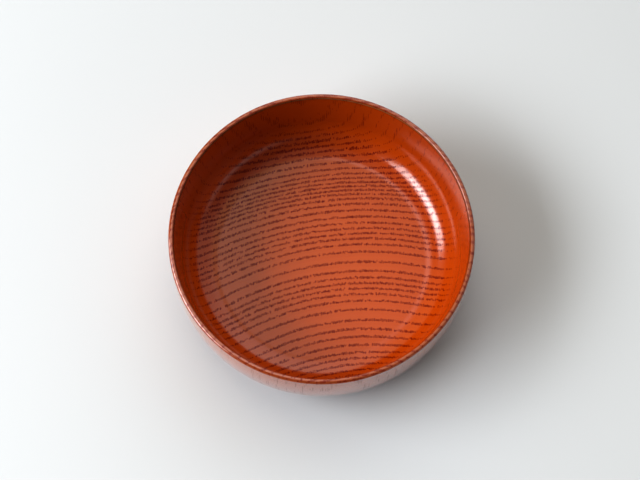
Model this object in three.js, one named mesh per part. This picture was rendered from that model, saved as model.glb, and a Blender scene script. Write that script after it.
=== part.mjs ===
// A small round rice bowl, turned from one block of wood and finished with red lacquer.
// Millimetres, +Z up. The bowl stands on its foot ring: the axis of turning is the Z axis and the standing edge is z = 0.
// The wood is one solid. The lacquer is a thin film in three coats: the inside, the outside with the lip, and the
// hollow of the foot. Each coat is a closed solid of its own that fits the wood face to face.
import * as THREE from "three";

// Driving dimensions of the finished, lacquered bowl.
const HEIGHT = 39;
const RIM_RADIUS = 60; // outer edge of the lip
const INSIDE_DEPTH = 31; // from the lip to the edge of the inside floor
const LACQUER = 0.25; // thickness of the film, all its layers together

const LIP_WIDTH = 2;
const LIP_ROUND_OUTSIDE = 1.1;
const LIP_ROUND_INSIDE = 0.6;

const FLOOR_RADIUS = 42.5; // the nearly level part of the inside
const FLOOR_DISH = 0.6; // how much lower its middle is than its edge
const INSIDE_CORNER = 14; // radius between the inside floor and the wall
const INSIDE_TURN = THREE.MathUtils.degToRad(85); // how far that corner turns before the straight wall

const BELLY = 0.6; // how far the outside swells past the lip
const BELLY_DEPTH = 13; // its widest level, below the lip
const BELLY_END = 22; // where the swell meets the lower corner, below the lip
const OUTSIDE_CORNER = 12;
const OUTSIDE_TURN = THREE.MathUtils.degToRad(82); // angle on that corner where the underside begins

const FOOT_RADIUS = 31;
const FOOT_WIDTH = 4;
const FOOT_HEIGHT = 3.5;
const FOOT_HOLLOW = 3; // depth of the hollow inside the ring
const FOOT_CORNER = 1.2;
const BARE_EDGE = 0.4; // the film stops this far above the standing edge

const TURNS = 40; // facets round the axis
const QUARTER = Math.PI / 2;

// Points on an arc in the profile's plane. Angle 0 points away from the axis and a quarter turn points up.
function arc(centreX, centreZ, radius, from, to, steps) {
  return Array.from({ length: steps + 1 }, (_, i) => {
    const angle = from + ((to - from) * i) / steps;
    return new THREE.Vector2(centreX + radius * Math.cos(angle), centreZ + radius * Math.sin(angle));
  });
}

// The outlines run from the middle of the inside, over the lip and down the outside, to the middle of the foot's
// hollow, so that the wood is always on their right.

function insideOutline() {
  const floor = HEIGHT - INSIDE_DEPTH;
  const dishRadius = (FLOOR_RADIUS ** 2 + FLOOR_DISH ** 2) / (2 * FLOOR_DISH);
  const dishEnd = Math.asin(FLOOR_RADIUS / dishRadius) - QUARTER;
  const dish = arc(0, floor - FLOOR_DISH + dishRadius, dishRadius, -QUARTER, dishEnd, 2);
  const corner = arc(FLOOR_RADIUS, floor + INSIDE_CORNER, INSIDE_CORNER, -QUARTER, INSIDE_TURN - QUARTER, 6);
  return [new THREE.Vector2(0, floor - FLOOR_DISH), ...dish.slice(1), ...corner.slice(1)];
}

// From the inner round of the lip to just above the standing edge.
function outsideOutline() {
  const lipInside = RIM_RADIUS - LIP_WIDTH + LIP_ROUND_INSIDE;
  const lipOutside = RIM_RADIUS - LIP_ROUND_OUTSIDE;
  const lip = [
    ...arc(lipInside, HEIGHT - LIP_ROUND_INSIDE, LIP_ROUND_INSIDE, Math.PI, QUARTER, 2),
    ...arc(lipOutside, HEIGHT - LIP_ROUND_OUTSIDE, LIP_ROUND_OUTSIDE, QUARTER, 0, 2),
  ];

  const bellyRise = BELLY_DEPTH - LIP_ROUND_OUTSIDE;
  const bellyRadius = (bellyRise ** 2 + BELLY ** 2) / (2 * BELLY);
  const bellyTop = Math.asin(bellyRise / bellyRadius);
  const bellyBottom = -Math.asin((BELLY_END - BELLY_DEPTH) / bellyRadius);
  const bellyCentre = RIM_RADIUS + BELLY - bellyRadius;
  const belly = arc(bellyCentre, HEIGHT - BELLY_DEPTH, bellyRadius, bellyTop, bellyBottom, 3);

  const cornerX = belly.at(-1).x - OUTSIDE_CORNER * Math.cos(bellyBottom);
  const cornerZ = belly.at(-1).y - OUTSIDE_CORNER * Math.sin(bellyBottom);
  const corner = arc(cornerX, cornerZ, OUTSIDE_CORNER, bellyBottom, -OUTSIDE_TURN, 5);

  const filletX = FOOT_RADIUS + FOOT_CORNER;
  const fillet = arc(filletX, FOOT_HEIGHT - FOOT_CORNER, FOOT_CORNER, QUARTER, Math.PI, 2);
  const filmEnd = new THREE.Vector2(FOOT_RADIUS, BARE_EDGE);
  return [...lip, ...belly.slice(1), ...corner.slice(1), ...fillet, filmEnd];
}

function hollowOutline() {
  const ringInside = FOOT_RADIUS - FOOT_WIDTH;
  const filmEnd = new THREE.Vector2(ringInside, BARE_EDGE);
  const round = arc(ringInside - FOOT_CORNER, FOOT_HOLLOW - FOOT_CORNER, FOOT_CORNER, 0, QUARTER, 2);
  return [filmEnd, ...round, new THREE.Vector2(0, FOOT_HOLLOW)];
}

// An outline moved into the wood by the thickness of the film.
function underFilm(outline) {
  const directions = outline.slice(1).map((point, i) => point.clone().sub(outline[i]).normalize());
  return outline.map((point, i) => {
    if (point.x === 0) return new THREE.Vector2(0, point.y + (i === 0 ? -LACQUER : LACQUER));
    const before = directions[Math.max(i - 1, 0)];
    const after = directions[Math.min(i, directions.length - 1)];
    const inwards = new THREE.Vector2(before.y + after.y, -before.x - after.x).normalize();
    const mitre = LACQUER / (inwards.x * after.y - inwards.y * after.x);
    return point.clone().addScaledVector(inwards, mitre);
  });
}

// A named piece turned round the Z axis from a profile that runs anticlockwise.
function turned(name, profile, material) {
  const geometry = new THREE.LatheGeometry(profile, TURNS);
  geometry.rotateX(QUARTER);
  const mesh = new THREE.Mesh(geometry, material);
  mesh.name = name;
  return mesh;
}

const inside = insideOutline();
const outside = outsideOutline();
const hollow = hollowOutline();

// The inside and the outside are one run of film that is cut at the lip, so they are moved into the wood together.
const bowlWood = underFilm([...inside, ...outside]);
const insideWood = bowlWood.slice(0, inside.length);
const outsideWood = bowlWood.slice(inside.length);
const hollowWood = underFilm(hollow);

const woodProfile = [
  ...insideWood,
  ...outsideWood,
  new THREE.Vector2(outsideWood.at(-1).x, 0),
  new THREE.Vector2(hollowWood[0].x, 0),
  ...hollowWood,
].reverse();

// The inside coat ends on the lip's inner shoulder, where the outside coat begins.
const insideProfile = [...insideWood, outsideWood[0], outside[0], ...inside.toReversed()];
const outsideProfile = [...outsideWood, ...outside.toReversed(), outsideWood[0]];
const hollowProfile = [...hollow.toReversed(), ...hollowWood];

const wood = new THREE.MeshStandardMaterial({ color: 0xb98a58, roughness: 0.7, metalness: 0 });
const insideLacquer = new THREE.MeshStandardMaterial({ color: 0xc8400f, roughness: 0.25, metalness: 0 });
const outsideLacquer = new THREE.MeshStandardMaterial({ color: 0xc04316, roughness: 0.25, metalness: 0 });
const hollowLacquer = new THREE.MeshStandardMaterial({ color: 0xb23a12, roughness: 0.35, metalness: 0 });

const riceBowl = new THREE.Group();
riceBowl.name = "rice_bowl";
riceBowl.add(
  turned("turned_bowl", woodProfile, wood),
  turned("inside_lacquer", insideProfile, insideLacquer),
  turned("outside_lacquer", outsideProfile, outsideLacquer),
  turned("foot_lacquer", hollowProfile, hollowLacquer),
);

export default riceBowl;
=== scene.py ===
"""A small turned rice bowl in red lacquer, with the lines of a ring-porous wood showing through it.

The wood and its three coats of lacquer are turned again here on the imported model's profile, fine enough for
a close view, and each of the four pieces stands for the CAD node of the same part. The growth rings are
cylinders round the pith of the tree, so the lines on the floor, the corner, the wall and the lip all come
from one formula in the wood.
"""

import math

import bmesh
import bpy
import numpy as np
from mathutils import Matrix, Vector

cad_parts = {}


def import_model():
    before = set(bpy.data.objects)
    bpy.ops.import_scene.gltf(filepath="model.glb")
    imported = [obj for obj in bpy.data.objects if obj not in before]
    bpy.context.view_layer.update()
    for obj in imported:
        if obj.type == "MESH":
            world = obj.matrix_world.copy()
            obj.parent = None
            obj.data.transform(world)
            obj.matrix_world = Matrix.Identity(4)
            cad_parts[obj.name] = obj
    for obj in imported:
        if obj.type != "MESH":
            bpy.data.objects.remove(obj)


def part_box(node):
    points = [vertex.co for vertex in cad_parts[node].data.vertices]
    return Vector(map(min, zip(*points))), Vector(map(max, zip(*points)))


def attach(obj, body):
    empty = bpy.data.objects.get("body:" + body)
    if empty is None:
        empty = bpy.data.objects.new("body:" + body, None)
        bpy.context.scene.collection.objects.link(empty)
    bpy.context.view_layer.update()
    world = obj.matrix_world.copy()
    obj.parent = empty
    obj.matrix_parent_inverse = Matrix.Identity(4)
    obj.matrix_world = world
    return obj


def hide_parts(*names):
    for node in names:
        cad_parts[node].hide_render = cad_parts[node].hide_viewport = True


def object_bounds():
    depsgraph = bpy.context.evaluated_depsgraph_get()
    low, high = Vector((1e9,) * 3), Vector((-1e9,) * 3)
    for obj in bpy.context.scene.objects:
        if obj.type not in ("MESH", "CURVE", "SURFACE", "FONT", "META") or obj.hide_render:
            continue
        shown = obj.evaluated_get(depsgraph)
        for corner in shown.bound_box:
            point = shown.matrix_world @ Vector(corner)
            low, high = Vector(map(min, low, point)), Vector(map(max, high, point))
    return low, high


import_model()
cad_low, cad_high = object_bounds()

MM = 0.001
QUARTER = math.pi / 2

# Sizes of the lacquered bowl, in metres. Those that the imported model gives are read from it.
LACQUER = 0.25 * MM
BELLY = 0.6 * MM  # how far the outside swells past the lip
HEIGHT = cad_high.z
RIM_RADIUS = cad_high.x - BELLY
FLOOR_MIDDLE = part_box("inside_lacquer")[0].z + LACQUER
HOLLOW_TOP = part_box("foot_lacquer")[1].z - LACQUER
FOOT_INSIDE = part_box("foot_lacquer")[1].x - LACQUER
LIP_WIDTH = 2 * MM
LIP_ROUND_OUTSIDE = 1.1 * MM
LIP_ROUND_INSIDE = 0.6 * MM
FLOOR_RADIUS = 42.5 * MM
FLOOR_DISH = 0.6 * MM
INSIDE_CORNER = 14 * MM
INSIDE_TURN = math.radians(85)
BELLY_DEPTH = 13 * MM
BELLY_END = 22 * MM
OUTSIDE_CORNER = 12 * MM
OUTSIDE_TURN = math.radians(82)
FOOT_WIDTH = 4 * MM
FOOT_HEIGHT = 3.5 * MM
FOOT_CORNER = 1.2 * MM
BARE_EDGE = 0.4 * MM  # the film stops this far above the standing edge
STANDING_EDGE_ROUND = 0.3 * MM

TURNS = 480
FINE_STEP = 0.65 * MM  # spacing of the visible surface's circles
COARSE_STEP = 4 * MM  # and of the surface between the wood and its film
SHARP_ANGLE = math.radians(40)

CAMERA_ELEVATION = 71.3  # degrees
CAMERA_DISTANCE = 428.5 * MM  # to the point that it looks at
CAMERA_AIM = (-0.63 * MM, -3.24 * MM)  # where that point is, at the height of the lip
CAMERA_LENS = 61.9  # focal length in millimetres, on a sensor 36 mm wide
CAMERA_ROLL = math.radians(0.9)
STAGE_HALF = 3.0  # from the middle of the sheet under the bowl to its edge

# Linear colours.
FILM_DEEP = (0.36, 0.052, 0.0005)
FILM_BRIGHT = (0.42, 0.070, 0.0012)
LIP_PAINTED_SHEEN = (0.23, 0.049, 0.007)  # painted sheen and shade: the top of the lip painted darker and pinkish-brown all round
FILM_PORE = (0.165, 0.011, 0.0003)
EARLY_WOOD = (0.50, 0.29, 0.135)
LATE_WOOD = (0.33, 0.165, 0.068)
WOOD_PORE = (0.09, 0.04, 0.016)
CLOTH = (0.56, 0.573, 0.578)
BACKDROP = (0.80, 0.81, 0.80)
WINDOW_LIGHT = (0.97, 1.0, 1.04)

# Radiance of the room round the bowl.
RIGHT_WALL = (0.85, 0.85, 0.87)
BACK_WALL = (2.2, 2.2, 2.2)
LEFT_WALL = (1.15, 0.95, 0.6)
CEILING_RIGHT = (1.45, 1.25, 0.95)
CEILING_LEFT = (3.3, 3.3, 3.4)
FRONT_LOW = (0.12, 0.12, 0.12)
FRONT_HIGH = (0.5, 0.5, 0.5)
FRONT_RIGHT = (1.1, 1.1, 1.1)

# The tree that the bowl was cut from, in millimetres, because the grain's formulas are.
PITH = (21, -122)  # where its middle was, seen from above with the bowl's axis at 0, 0
AXIS_FROM_PITH = math.hypot(*PITH)
RING_WIDTH = 2.85
GOOD_YEARS = 22.1  # from one run of wide rings to the next
RINGS_TO_AXIS = 11.92  # the count of rings on the bowl's axis
NARROW_DEPTH = 41  # the rings that lie farther than this from the bowl's axis, towards the pith, are narrow
RING_SINK = 0.01 * MM  # how far the film lies lower over the soft early wood of each ring


# ---- Outline of the bowl ----


def arc(centre_x, centre_z, radius, start, end, step):
    """Points on an arc in the profile's plane. Angle 0 points outwards, and a quarter turn is up."""
    count = max(3, round(abs(end - start) * radius / step))
    angles = np.linspace(start, end, count + 1)
    return [(centre_x + radius * math.cos(a), centre_z + radius * math.sin(a)) for a in angles]


def line(start, end, step):
    """Points on a straight line, both ends included."""
    count = max(1, round(math.dist(start, end) / step))
    return [tuple(np.array(start) + (np.array(end) - start) * i / count) for i in range(count + 1)]


def inside_outline(step):
    """From the middle of the inside floor to the top of the straight wall."""
    floor_edge = FLOOR_MIDDLE + FLOOR_DISH
    dish_radius = (FLOOR_RADIUS**2 + FLOOR_DISH**2) / (2 * FLOOR_DISH)
    dish_turn = math.asin(FLOOR_RADIUS / dish_radius)
    dish = arc(0, FLOOR_MIDDLE + dish_radius, dish_radius, -QUARTER, dish_turn - QUARTER, step)
    corner_z = floor_edge + INSIDE_CORNER
    corner = arc(FLOOR_RADIUS, corner_z, INSIDE_CORNER, -QUARTER, INSIDE_TURN - QUARTER, step)
    wall_top = (RIM_RADIUS - LIP_WIDTH, HEIGHT - LIP_ROUND_INSIDE)
    return [(0, FLOOR_MIDDLE), *dish[1:], *corner[1:], *line(corner[-1], wall_top, step)[1:-1]]


def outside_outline(step):
    """From the inner round of the lip to just above the standing edge."""
    lip_inside = RIM_RADIUS - LIP_WIDTH + LIP_ROUND_INSIDE
    lip_outside = RIM_RADIUS - LIP_ROUND_OUTSIDE
    lip_step = min(step, LIP_ROUND_INSIDE / 5)
    lip_in = arc(lip_inside, HEIGHT - LIP_ROUND_INSIDE, LIP_ROUND_INSIDE, math.pi, QUARTER, lip_step)
    lip_out = arc(lip_outside, HEIGHT - LIP_ROUND_OUTSIDE, LIP_ROUND_OUTSIDE, QUARTER, 0, lip_step)

    belly_rise = BELLY_DEPTH - LIP_ROUND_OUTSIDE
    belly_radius = (belly_rise**2 + BELLY**2) / (2 * BELLY)
    belly_x = RIM_RADIUS + BELLY - belly_radius
    belly_top = math.asin(belly_rise / belly_radius)
    belly_end = -math.asin((BELLY_END - BELLY_DEPTH) / belly_radius)
    belly = arc(belly_x, HEIGHT - BELLY_DEPTH, belly_radius, belly_top, belly_end, step)

    corner_x = belly[-1][0] - OUTSIDE_CORNER * math.cos(belly_end)
    corner_z = belly[-1][1] - OUTSIDE_CORNER * math.sin(belly_end)
    corner = arc(corner_x, corner_z, OUTSIDE_CORNER, belly_end, -OUTSIDE_TURN, step)

    foot_outside = FOOT_INSIDE + FOOT_WIDTH
    fillet_x = foot_outside + FOOT_CORNER
    fillet_step = min(step, FOOT_CORNER / 4)
    fillet = arc(fillet_x, FOOT_HEIGHT - FOOT_CORNER, FOOT_CORNER, QUARTER, math.pi, fillet_step)
    underside = line(corner[-1], fillet[0], step)
    foot = line(fillet[-1], (foot_outside, BARE_EDGE), step)
    return [*lip_in, *lip_out, *belly[1:], *corner[1:], *underside[1:], *fillet[1:], *foot[1:]]


def hollow_outline(step):
    """From just above the standing edge's inside to the middle of the foot's hollow."""
    round_x = FOOT_INSIDE - FOOT_CORNER
    round_step = min(step, FOOT_CORNER / 4)
    corner = arc(round_x, HOLLOW_TOP - FOOT_CORNER, FOOT_CORNER, 0, QUARTER, round_step)
    ceiling = line(corner[-1], (0, HOLLOW_TOP), step)
    return [(FOOT_INSIDE, BARE_EDGE), *corner, *ceiling[1:]]


def under_film(outline):
    """The outline moved into the wood, which is on its right, by the thickness of the film."""
    points = np.array(outline)
    directions = np.diff(points, axis=0)
    directions /= np.linalg.norm(directions, axis=1)[:, None]
    before = np.vstack([directions[:1], directions])
    after = np.vstack([directions, directions[-1:]])
    inwards = np.column_stack([before[:, 1] + after[:, 1], -before[:, 0] - after[:, 0]])
    inwards /= np.linalg.norm(inwards, axis=1)[:, None]
    mitre = LACQUER / (inwards[:, 0] * after[:, 1] - inwards[:, 1] * after[:, 0])
    moved = points + inwards * mitre[:, None]
    on_axis = points[:, 0] == 0
    moved[on_axis, 0] = 0
    return [tuple(p) for p in moved]


# ---- The grain, as one formula for meshes and for materials ----


def ring_index(depth, sine):
    """Counts growth rings at a depth in millimetres, measured from the bowl's axis away from the pith.

    A whole number is the first row of pores of a year. The years run wide and narrow in a short and a long
    cycle, and those nearest to the pith are all narrow.
    """
    short_cycle = 0.33 * sine((depth + 2.8) * (math.tau / GOOD_YEARS))
    long_cycle = 0.31 * sine((depth - 2.6) * (math.tau / (2 * GOOD_YEARS)))
    near_pith = depth + NARROW_DEPTH - abs(depth + NARROW_DEPTH)
    steady = RINGS_TO_AXIS + depth / RING_WIDTH
    return steady - short_cycle - long_cycle + 0.0014 * depth * depth + 0.135 * near_pith


def ring_sink(x, y):
    """How far the film has sunk at these places: most over each ring's pores, least in its late wood."""
    depth = np.hypot(x / MM - PITH[0], y / MM - PITH[1]) - AXIS_FROM_PITH
    return RING_SINK * (0.5 + 0.5 * np.cos(math.tau * ring_index(depth, np.sin))) ** 2


# ---- Turned meshes ----


def turned(name, visible, hidden, sinks=True):
    """A closed solid turned round the Z axis.

    Its section runs along the visible outline and back along the hidden one.
    """
    section = [*visible, *reversed(hidden)]
    angles = np.arange(TURNS) * math.tau / TURNS
    cosines, sines = np.cos(angles), np.sin(angles)
    points, circles = [], []
    for i, (radius, z) in enumerate(section):
        count = 1 if radius == 0 else TURNS
        circle = np.column_stack([radius * cosines[:count], radius * sines[:count], np.full(count, z)])
        if sinks and 0 < i < len(visible) - 1:
            tangent = np.subtract(section[i + 1], section[i - 1])
            tangent /= np.linalg.norm(tangent)
            sink = ring_sink(circle[:, 0], circle[:, 1])
            circle[:, 0] += sink * tangent[1] * cosines[:count]
            circle[:, 1] += sink * tangent[1] * sines[:count]
            circle[:, 2] -= sink * tangent[0]
        circles.append(range(len(points), len(points) + count))
        points.extend(circle.tolist())

    faces = []
    for here, there in zip(circles, circles[1:] + circles[:1]):
        for i in range(max(len(here), len(there))):
            j = (i + 1) % TURNS
            if len(here) == 1 and len(there) > 1:
                faces.append((here[0], there[i], there[j]))
            elif len(there) == 1 and len(here) > 1:
                faces.append((here[j], here[i], there[0]))
            elif len(here) > 1:
                faces.append((here[j], here[i], there[i], there[j]))

    mesh = bpy.data.meshes.new(name)
    mesh.from_pydata(points, [], faces)
    shape = bmesh.new()
    shape.from_mesh(mesh)
    bmesh.ops.recalc_face_normals(shape, faces=shape.faces)
    shape.to_mesh(mesh)
    shape.free()
    mesh.shade_smooth()
    mesh.set_sharp_from_angle(angle=SHARP_ANGLE)
    piece = bpy.data.objects.new(name, mesh)
    bpy.context.collection.objects.link(piece)
    return piece


def film(name, outline):
    """A coat of lacquer: its visible surface is fine and its back is as coarse as the wood's."""
    return turned(name, outline(FINE_STEP), under_film(outline(COARSE_STEP)))


def wood_body():
    """The wood under all the coats, with its bare standing edge slightly rounded."""
    over = under_film([*inside_outline(COARSE_STEP), *outside_outline(COARSE_STEP)])
    under = under_film(hollow_outline(COARSE_STEP))
    outer = over[-1][0] - STANDING_EDGE_ROUND
    inner = under[0][0] + STANDING_EDGE_ROUND
    edge_step = STANDING_EDGE_ROUND / 3
    edge = [
        *arc(outer, STANDING_EDGE_ROUND, STANDING_EDGE_ROUND, 0, -QUARTER, edge_step),
        *arc(inner, STANDING_EDGE_ROUND, STANDING_EDGE_ROUND, -QUARTER, -math.pi, edge_step),
    ]
    return turned("wood_body", [*over, *edge, *under], [], sinks=False)


# ---- Material nodes ----


class Field:
    """A number at each point of a surface, made by a shader node, that adds and multiplies like a number."""

    def __init__(self, tree, socket):
        self.tree = tree
        self.socket = socket

    def apply(self, operation, *others):
        node = self.tree.nodes.new("ShaderNodeMath")
        node.operation = operation
        for place, value in enumerate((self, *others)):
            connect(self.tree, value, node.inputs[place])
        return Field(self.tree, node.outputs[0])

    def __add__(self, other):
        return self.apply("ADD", other)

    def __sub__(self, other):
        return self.apply("SUBTRACT", other)

    def __rsub__(self, other):
        return self.apply("MULTIPLY_ADD", -1, other)

    def __mul__(self, other):
        return self.apply("MULTIPLY", other)

    def __truediv__(self, other):
        return self.apply("DIVIDE", other)

    def __abs__(self):
        return self.apply("ABSOLUTE")

    __radd__ = __add__
    __rmul__ = __mul__

    def step(self, low, high):
        """Rises smoothly from 0 at low to 1 at high, or falls if low is the larger."""
        node = self.tree.nodes.new("ShaderNodeMapRange")
        node.interpolation_type = "SMOOTHSTEP"
        for place, value in zip(("Value", "From Min", "From Max"), (self, low, high)):
            connect(self.tree, value, node.inputs[place])
        return Field(self.tree, node.outputs["Result"])


def connect(tree, value, socket):
    """Links a field to a socket, or sets the socket to a plain value."""
    if isinstance(value, Field):
        tree.links.new(value.socket, socket)
    else:
        socket.default_value = value


def sine(field):
    return field.apply("SINE")


def vector(tree, x, y, z):
    node = tree.nodes.new("ShaderNodeCombineXYZ")
    for place, value in enumerate((x, y, z)):
        connect(tree, value, node.inputs[place])
    return Field(tree, node.outputs[0])


def noise(place, detail=2.0):
    """Smooth noise about 0, mostly between -0.5 and 0.5, with one bump to each unit of its place."""
    node = place.tree.nodes.new("ShaderNodeTexNoise")
    place.tree.links.new(place.socket, node.inputs["Vector"])
    node.inputs["Scale"].default_value = 1
    node.inputs["Detail"].default_value = detail
    node.inputs["Roughness"].default_value = 0.5
    return Field(place.tree, node.outputs["Fac"]) - 0.5


def draws(place):
    """Three numbers from 0 to 1, drawn anew for each different place."""
    node = place.tree.nodes.new("ShaderNodeTexWhiteNoise")
    node.noise_dimensions = "3D"
    place.tree.links.new(place.socket, node.inputs["Vector"])
    parts = place.tree.nodes.new("ShaderNodeSeparateColor")
    place.tree.links.new(node.outputs["Color"], parts.inputs[0])
    return [Field(place.tree, output) for output in parts.outputs]


def mixed(factor, first, second):
    """A colour between two, each a field or a plain linear colour."""
    tree = factor.tree
    node = tree.nodes.new("ShaderNodeMix")
    node.data_type = "RGBA"
    tree.links.new(factor.socket, node.inputs["Factor"])
    for name, value in (("A", first), ("B", second)):
        socket = next(s for s in node.inputs if s.name == name and s.type == "RGBA")
        connect(tree, value if isinstance(value, Field) else (*value, 1), socket)
    return Field(tree, next(s for s in node.outputs if s.type == "RGBA"))


class Grain:
    """The wood at each point of a surface, in millimetres along the tree's own directions."""

    def __init__(self, tree):
        self.tree = tree
        place = tree.nodes.new("ShaderNodeTexCoord").outputs["Object"]
        parts = tree.nodes.new("ShaderNodeSeparateXYZ")
        tree.links.new(place, parts.inputs[0])
        self.x, self.y, self.z = (Field(tree, output) / MM for output in parts.outputs)

        wander = noise(vector(tree, self.x / 14, self.y / 14, self.z / 60))
        east = self.x - PITH[0]
        north = self.y - PITH[1]
        from_pith = (east * east + north * north).apply("SQRT")
        depth = from_pith - AXIS_FROM_PITH + wander * 0.5
        index = ring_index(depth, sine)
        rings_per_mm = ring_index(depth + 0.5, sine) - ring_index(depth - 0.5, sine)
        self.year = index.apply("ROUND")
        self.past_line = (index - self.year) / rings_per_mm
        self.along = from_pith * east.apply("ARCTAN2", north)

        facing = tree.nodes.new("ShaderNodeSeparateXYZ")
        tree.links.new(tree.nodes.new("ShaderNodeNewGeometry").outputs["Normal"], facing.inputs[0])
        self.end_grain = Field(tree, facing.outputs["Z"]).apply("ABSOLUTE").step(0.35, 0.9)

    def pores(self, pitch, offset, size, share, seed):
        """One row of pores along each year's line, from 0 to 1.

        Offset is the row's distance outside the line, and share is how many of its places hold a pore. On
        side grain the pores are grooves, cut into lengths of a few millimetres. The odd factors below keep
        one year or length from drawing the same numbers as its neighbours.
        """
        tree = self.tree
        run = self.along / pitch + self.year * 7.31
        place = run.apply("FLOOR")
        first, second, third = draws(vector(tree, place, self.year, seed))
        storey = (self.z / 6 + third * 5).apply("FLOOR")
        shown, wide, across = draws(vector(tree, place + storey * 57, self.year, seed + 0.5))
        dx = (run - place - 0.5 - (first - 0.5) * 0.35) * pitch
        dy = self.past_line - offset - (across - 0.5) * 0.26
        distance = (dx * dx + dy * dy).apply("SQRT")
        radius = size * (0.75 + 0.5 * wide) * (self.end_grain * 0.5 + 0.5)
        gaps = noise(vector(tree, self.along / 2.6, self.year * 3.7, self.z / 25 + seed), detail=1)
        side_grain = 1 - self.end_grain
        present = (gaps + (shown - 0.5) * 0.45 + share - side_grain * 0.12).step(-0.04, 0.04)
        return (distance / radius).step(1.15, 0.75) * present * (0.6 + 0.4 * second)


def principled(name):
    material = bpy.data.materials.new(name)
    material.use_nodes = True
    tree = material.node_tree
    shader = tree.nodes["Principled BSDF"]
    return material, tree, shader


def bumped(height, distance, shader):
    """Raises the shader's surface by a field, times a distance in metres."""
    node = height.tree.nodes.new("ShaderNodeBump")
    node.inputs["Distance"].default_value = distance
    height.tree.links.new(height.socket, node.inputs["Height"])
    height.tree.links.new(node.outputs["Normal"], shader.inputs["Normal"])


def lacquer(name, gloss=0.18, index=1.35, coat=0.6, relief=1.0, painted_lip_sheen=False):
    """Semi-gloss vermilion lacquer that has sunk into the pores of the wood below it.

    The upper coat is missing in the pores, so they mirror less than the film round them.
    """
    material, tree, shader = principled(name)
    grain = Grain(tree)
    row = grain.pores(pitch=0.80, offset=-0.10, size=0.44, share=0.22, seed=1.0)
    second_row = grain.pores(pitch=0.72, offset=0.36, size=0.33, share=0.02, seed=2.0)
    pore = row.apply("MAXIMUM", second_row) * (grain.end_grain * 0.25 + 0.75)

    late_wood = grain.past_line.step(-1.6, -0.1)
    mottle = noise(vector(tree, grain.x / 18, grain.y / 18, grain.z / 40), detail=3)
    fleck = noise(vector(tree, grain.along / 0.55, grain.past_line / 1.1, grain.z / 9))
    tone = mottle * 0.5 + fleck * 0.25 + late_wood * 0.12 + 0.5
    colour = mixed(tone, FILM_DEEP, FILM_BRIGHT)
    # Painted sheen and shade: a darker, pinkish-brown band painted round the top of the lip, the same all
    # round the rim.
    if painted_lip_sheen:
        painted_sheen_band = (grain.z + mottle * 0.5).step(HEIGHT / MM - 1.6, HEIGHT / MM - 0.6)
        colour = mixed(painted_sheen_band * 0.7, colour, LIP_PAINTED_SHEEN)
    colour = mixed(pore, colour, FILM_PORE)
    tree.links.new(colour.socket, shader.inputs["Base Color"])

    connect(tree, (mottle + fleck) * 0.05 + gloss, shader.inputs["Roughness"])
    shader.inputs["IOR"].default_value = index
    connect(tree, (1 - pore) * coat, shader.inputs["Coat Weight"])
    shader.inputs["Coat IOR"].default_value = 1.6
    shader.inputs["Coat Roughness"].default_value = gloss
    ripple = noise(vector(tree, grain.x / 3.5, grain.y / 3.5, grain.z / 7), detail=2)
    bumped(ripple * 0.5 + fleck * 0.16 - pore * 0.5, relief * 0.01 * MM, shader)
    return material


def bare_wood():
    """Sanded end grain, on the standing edge."""
    material, tree, shader = principled("bare_wood")
    grain = Grain(tree)
    pore = grain.pores(pitch=0.66, offset=0.0, size=0.33, share=0.16, seed=1.0)
    late_wood = grain.past_line.step(-1.6, -0.1)
    fibre = noise(vector(tree, grain.along / 0.3, grain.past_line / 0.5, grain.z / 8), detail=3)
    tone = late_wood * 0.5 + fibre * 0.5 + 0.3
    colour = mixed(tone, EARLY_WOOD, LATE_WOOD)
    colour = mixed(pore, colour, WOOD_PORE)
    tree.links.new(colour.socket, shader.inputs["Base Color"])
    connect(tree, fibre * 0.15 + 0.62, shader.inputs["Roughness"])
    bumped(fibre * 0.3 - pore, 0.06 * MM, shader)
    return material


# ---- Studio ----


def direction(azimuth, elevation):
    """A level direction turned from +X towards +Y, raised above the horizon, in degrees."""
    a, e = math.radians(azimuth), math.radians(elevation)
    return Vector((math.cos(a) * math.cos(e), math.sin(a) * math.cos(e), math.sin(e)))


def soft_light(name, azimuths, elevations, distance, radiance):
    """A soft panel that faces the bowl and spans these angles as the bowl sees it, unseen by the camera."""
    azimuth, elevation = sum(azimuths) / 2, sum(elevations) / 2
    half_width = math.radians(azimuths[1] - azimuths[0]) / 2
    half_height = math.radians(elevations[1] - elevations[0]) / 2
    data = bpy.data.lights.new(name, "AREA")
    data.shape = "RECTANGLE"
    data.size = 2 * distance * math.tan(half_width) * math.cos(math.radians(elevation))
    data.size_y = 2 * distance * math.tan(half_height)
    data.energy = radiance * math.pi * data.size * data.size_y
    data.color = WINDOW_LIGHT
    light = bpy.data.objects.new(name, data)
    towards = direction(azimuth, elevation)
    light.location = towards * distance
    light.rotation_euler = towards.to_track_quat("Z", "Y").to_euler()
    light.visible_camera = False
    bpy.context.collection.objects.link(light)


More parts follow.
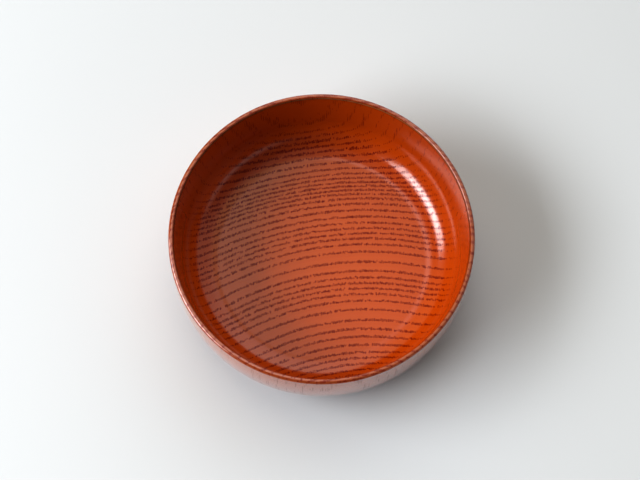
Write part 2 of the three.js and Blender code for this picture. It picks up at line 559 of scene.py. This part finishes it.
def world():
    """A pale backdrop for the camera, and a plain room's soft light that reaches the bowl from all round.

    Its strength goes by direction: turn is in degrees from +X towards +Y, and up is 1 overhead.
    """
    made = bpy.data.worlds.new("studio")
    made.use_nodes = True
    tree = made.node_tree
    parts = tree.nodes.new("ShaderNodeSeparateXYZ")
    tree.links.new(tree.nodes.new("ShaderNodeTexCoord").outputs["Generated"], parts.inputs[0])
    east, north, up = (Field(tree, output) for output in parts.outputs)
    turn = north.apply("ARCTAN2", east) * (180 / math.pi)

    # Behind the bowl it is bright from low down to nearly overhead, and brightest overhead on the left.
    walls = mixed(turn.step(25, 75), RIGHT_WALL, BACK_WALL)
    walls = mixed(turn.step(90, 125), walls, LEFT_WALL)
    whiter = (turn + up.step(0.94, 1.0) * 14).step(80, 128)
    ceiling = mixed(whiter, CEILING_RIGHT, CEILING_LEFT)
    back = mixed(up.step(0.85, 0.93), walls, ceiling)

    # In front it is dim, but for the lower part on the right.
    low_right = turn.step(-75, -45) * turn.step(10, -15) * up.step(0.5, 0.3) * up.step(0.02, 0.1)
    front = mixed(up.step(0.8, 0.95), FRONT_LOW, FRONT_HIGH)
    front = mixed(low_right, front, FRONT_RIGHT)

    behind = turn.step(-20, 20) * turn.step(165, 130) * up.step(0.10, 0.36) * up.step(1.0, 0.993)
    fill = tree.nodes["Background"]
    tree.links.new(mixed(behind, front, back).socket, fill.inputs["Color"])
    fill.inputs["Strength"].default_value = 1.0
    backdrop = tree.nodes.new("ShaderNodeBackground")
    backdrop.inputs["Color"].default_value = (*BACKDROP, 1)
    path = tree.nodes.new("ShaderNodeLightPath")
    chosen = tree.nodes.new("ShaderNodeMixShader")
    tree.links.new(path.outputs["Is Camera Ray"], chosen.inputs["Fac"])
    tree.links.new(fill.outputs[0], chosen.inputs[1])
    tree.links.new(backdrop.outputs[0], chosen.inputs[2])
    tree.links.new(chosen.outputs[0], tree.nodes["World Output"].inputs["Surface"])
    bpy.context.scene.world = made


def floor():
    """A wide pale sheet under the bowl."""
    material, tree, shader = principled("pale_cloth")
    shader.inputs["Base Color"].default_value = (*CLOTH, 1)
    shader.inputs["Roughness"].default_value = 0.95
    shader.inputs["Specular IOR Level"].default_value = 0.1
    mesh = bpy.data.meshes.new("floor")
    corners = [(-1, -1), (1, -1), (1, 1), (-1, 1)]
    mesh.from_pydata([(x * STAGE_HALF, y * STAGE_HALF, 0) for x, y in corners], [], [(0, 1, 2, 3)])
    mesh.materials.append(material)
    made = bpy.data.objects.new("floor", mesh)
    bpy.context.collection.objects.link(made)


def camera():
    """Looks down steeply from the bowl's near side, a little past its middle."""
    data = bpy.data.cameras.new("camera")
    data.sensor_width = 36
    data.lens = CAMERA_LENS
    data.clip_start = 0.01
    made = bpy.data.objects.new("camera", data)
    target = Vector((*CAMERA_AIM, HEIGHT))
    back = direction(-90, CAMERA_ELEVATION)
    made.location = target + back * CAMERA_DISTANCE
    roll = Matrix.Rotation(CAMERA_ROLL, 4, "Z")
    turn = back.to_track_quat("Z", "Y").to_matrix().to_4x4() @ roll
    made.rotation_euler = turn.to_euler()
    bpy.context.collection.objects.link(made)
    bpy.context.scene.camera = made


camera()
world()
floor()
# The window is brighter in its middle than at its edges.
soft_light("window", (162, 220), (24, 48), 1.6, 10.4)
soft_light("window_middle", (172, 207), (28, 43), 1.65, 7.6)

wood = wood_body()
wood_look = bare_wood()
inside = film("inside_coat", inside_outline)
inside_look = lacquer("inside")
outside = film("outside_coat", outside_outline)
outside_look = lacquer("outside", gloss=0.14, index=1.5, coat=1.0, relief=0.2, painted_lip_sheen=True)
foot = film("foot_coat", hollow_outline)
foot_look = lacquer("foot", gloss=0.36)
pieces = [
    (wood, "turned_bowl", "wood", wood_look),
    (inside, "inside_lacquer", "lacquer_inside", inside_look),
    (outside, "outside_lacquer", "lacquer_outside", outside_look),
    (foot, "foot_lacquer", "lacquer_foot", foot_look),
]
for piece, node, slot, material in pieces:
    piece.data.materials.append(material)
    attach(piece, "root")
    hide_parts(node)

bpy.context.scene.view_settings.view_transform = "Standard"
bpy.context.scene.view_settings.gamma = 0.75
